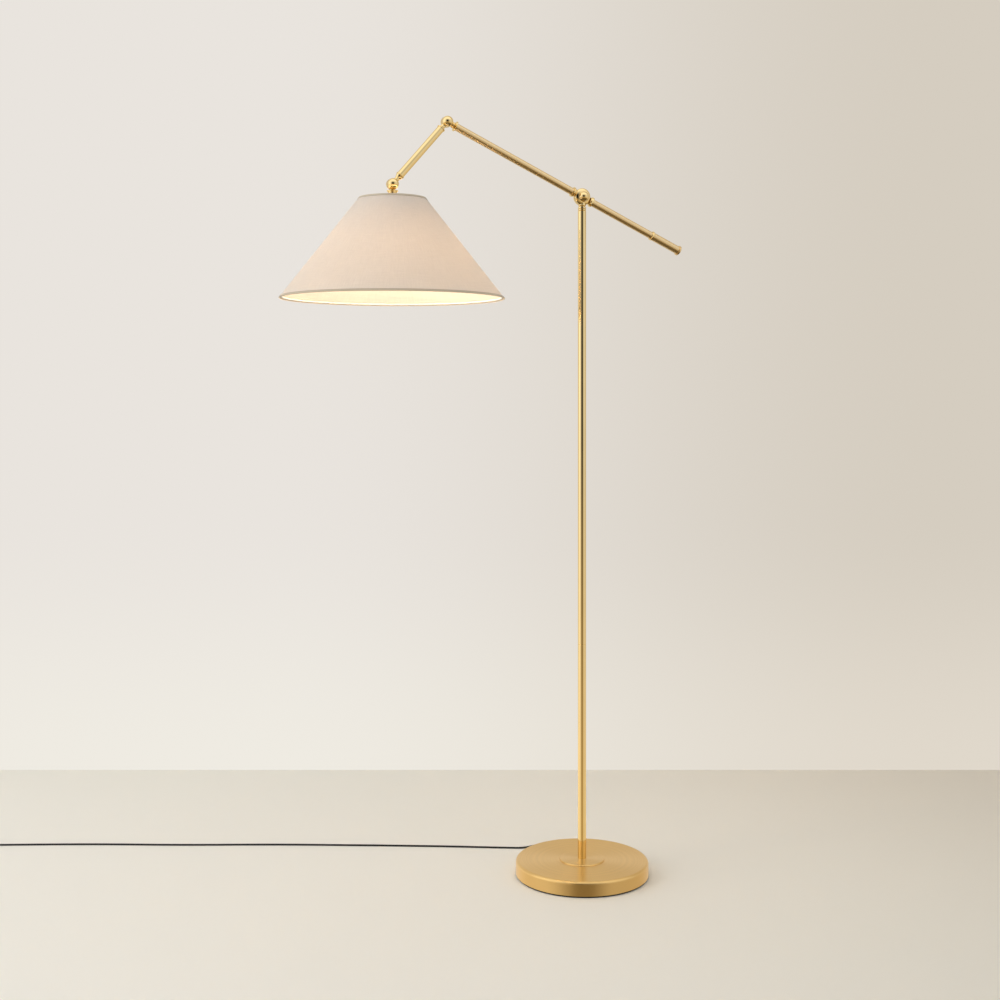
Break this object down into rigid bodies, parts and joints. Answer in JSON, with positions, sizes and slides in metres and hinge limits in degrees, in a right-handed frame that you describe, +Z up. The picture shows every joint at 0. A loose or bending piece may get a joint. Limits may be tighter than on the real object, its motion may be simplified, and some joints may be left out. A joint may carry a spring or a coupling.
{
  "type": "floor lamp",
  "caption": "Brass floor lamp with a weighted round base, a straight pole, a tilting counter-gripped arm, a jointed link and a conical linen shade; a cord leaves the base.",
  "frame": {"origin": "on the floor under the pole's axis, the middle of the base's underside", "axes": "+Z up along the pole; the arm lies in the XZ plane with its shade end towards -X and its grip towards +X; +Y is the side away from the viewer"},
  "size_m": [1.363, 0.923, 1.4315],
  "materials": {
    "brass_polished": "polished, lacquered",
    "brass_satin": "satin, brushed round the axis",
    "cast_iron": "raw casting",
    "zinc_steel": "zinc plated",
    "black_rubber": "matt",
    "black_cord": "smooth flexible insulation",
    "fibre": "dull fibre",
    "black_plastic": "moulded, fine grain",
    "white_enamel": "white enamelled wire",
    "linen": "woven linen on a stiff backing",
    "frosted_glass": "inside frosted",
    "cap_metal": "bright, rolled thread"
  },
  "bodies": {
    "stand": {"base_cover": "brass_satin", "base_weight": "cast_iron", "base_pad": "black_rubber", "foot_plate": "brass_satin", "base_rod": "zinc_steel", "rod_washer": "zinc_steel", "rod_nut": "zinc_steel", "pole_foot_bush": "zinc_steel", "pole_lower_tube": "brass_polished", "pole_coupling": "zinc_steel", "pole_upper_tube": "brass_polished", "pole_cap": "brass_polished", "cord_gland": "black_rubber", "inner_lead": "black_cord", "cord_run": "black_cord", "cord_coil": "black_cord", "cord_tail": "black_cord", "plug_body": "black_plastic", "plug_pins": "cap_metal"},
    "neck": {"swivel_neck": "brass_polished", "thrust_washer": "fibre", "spring_washer": "zinc_steel", "spigot_nut": "zinc_steel", "pivot_screw": "brass_polished", "pivot_disc": "fibre"},
    "arm": {"arm_hub": "brass_satin", "arm_front_tube": "brass_satin", "arm_rear_tube": "brass_satin", "arm_lead": "black_cord", "grip_ring": "brass_polished", "grip_sleeve": "brass_satin", "grip_cap": "brass_satin", "elbow_arm_half": "brass_polished", "elbow_screw": "brass_polished", "elbow_disc": "fibre"},
    "link": {"elbow_link_half": "brass_polished", "link_tube": "brass_polished", "link_lead": "black_cord", "shade_link_half": "brass_polished", "shade_screw": "brass_polished", "shade_disc": "fibre"},
    "head": {"shade_head_half": "brass_polished", "socket_cap": "brass_polished", "cap_nut": "zinc_steel", "socket_shell": "brass_polished", "socket_core": "black_plastic", "screw_shell": "cap_metal", "socket_liner": "fibre", "fitter_nut": "black_plastic", "shade_frame": "white_enamel", "shade_rim_wire": "white_enamel", "shade_skin": "linen", "bulb_cap": "cap_metal", "bulb_glass": "frosted_glass"},
    "knob": {"switch_knob": "black_plastic"}
  },
  "joints": [
    {"name": "neck_turn", "type": "hinge", "parent": "stand", "child": "neck", "pos_m": [0, 0, 1.2806], "axis": [0, 0, 1], "range_deg": [-170, 170]},
    {"name": "arm_tilt", "type": "hinge", "parent": "neck", "child": "arm", "pos_m": [0, 0, 1.3], "axis": [0, -1, 0], "range_deg": [-10, 25]},
    {"name": "elbow_bend", "type": "hinge", "parent": "arm", "child": "link", "pos_m": [-0.28104, 0, 1.42104], "axis": [0, -1, 0], "range_deg": [-45, 10]},
    {"name": "shade_tilt", "type": "hinge", "parent": "link", "child": "head", "pos_m": [-0.38731, 0, 1.30008], "axis": [0, -1, 0], "range_deg": [-45, 20]},
    {"name": "switch_turn", "type": "hinge", "parent": "head", "child": "knob", "pos_m": [-0.4133, 0, 1.25608], "axis": [-1, 0, 0], "continuous": true}
  ]
}
